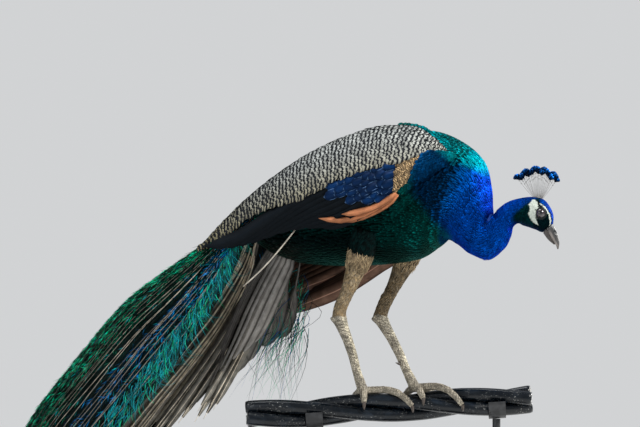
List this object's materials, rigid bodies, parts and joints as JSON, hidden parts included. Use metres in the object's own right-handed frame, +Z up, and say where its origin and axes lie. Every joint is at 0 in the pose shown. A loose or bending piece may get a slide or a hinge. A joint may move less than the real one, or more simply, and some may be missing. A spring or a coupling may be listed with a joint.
{
  "type": "indian peacock, still life-size model on a cable perch",
  "caption": "Male peafowl with lowered head and hanging train, gripping a short length of twisted cable held over a flat base by two upright rods.",
  "frame": {"origin": "on the underside of the stand's base, below the middle of the two feet", "axes": "+Z up, +X the way the bird faces, +Y to the bird's left"},
  "size_m": [1.3034, 0.4, 1.1667],
  "materials": {
    "neck_plumage": "satin",
    "body_plumage": "satin",
    "wing_plumage": "matte",
    "far_wing_plumage": "matte",
    "train_plumage": "satin",
    "tail_plumage": "matte",
    "thigh_plumage": "matte",
    "crest_plumage": "satin",
    "eye": "gloss",
    "bill": "satin",
    "leg_scale": "matte",
    "claw": "satin",
    "cable": "satin",
    "stand_board": "matte",
    "stand_metal": "satin"
  },
  "bodies": {
    "root": {"head": "neck_plumage", "neck_upper": "neck_plumage", "neck_lower": "neck_plumage", "trunk": "body_plumage", "eye_right": "eye", "eye_left": "eye", "bill_upper": "bill", "bill_lower": "bill", "crest": "crest_plumage", "wing_right": "wing_plumage", "wing_left": "far_wing_plumage", "train_base": "train_plumage", "train_middle": "train_plumage", "train_end": "train_plumage", "tail": "tail_plumage", "stand_base": "stand_board", "perch_cable_1": "cable", "perch_cable_2": "cable", "perch_cable_3": "cable", "stand_flange_rear": "stand_metal", "stand_rod_rear": "stand_metal", "stand_cradle_rear": "stand_metal", "stand_flange_front": "stand_metal", "stand_rod_front": "stand_metal", "stand_cradle_front": "stand_metal", "thigh_right": "thigh_plumage", "shank_right": "leg_scale", "foot_right": "leg_scale", "spur_right": "claw", "claw_inner_right": "claw", "claw_middle_right": "claw", "claw_outer_right": "claw", "claw_hind_right": "claw", "thigh_left": "thigh_plumage", "shank_left": "leg_scale", "foot_left": "leg_scale", "spur_left": "claw", "claw_inner_left": "claw", "claw_middle_left": "claw", "claw_outer_left": "claw", "claw_hind_left": "claw"}
  },
  "joints": []
}
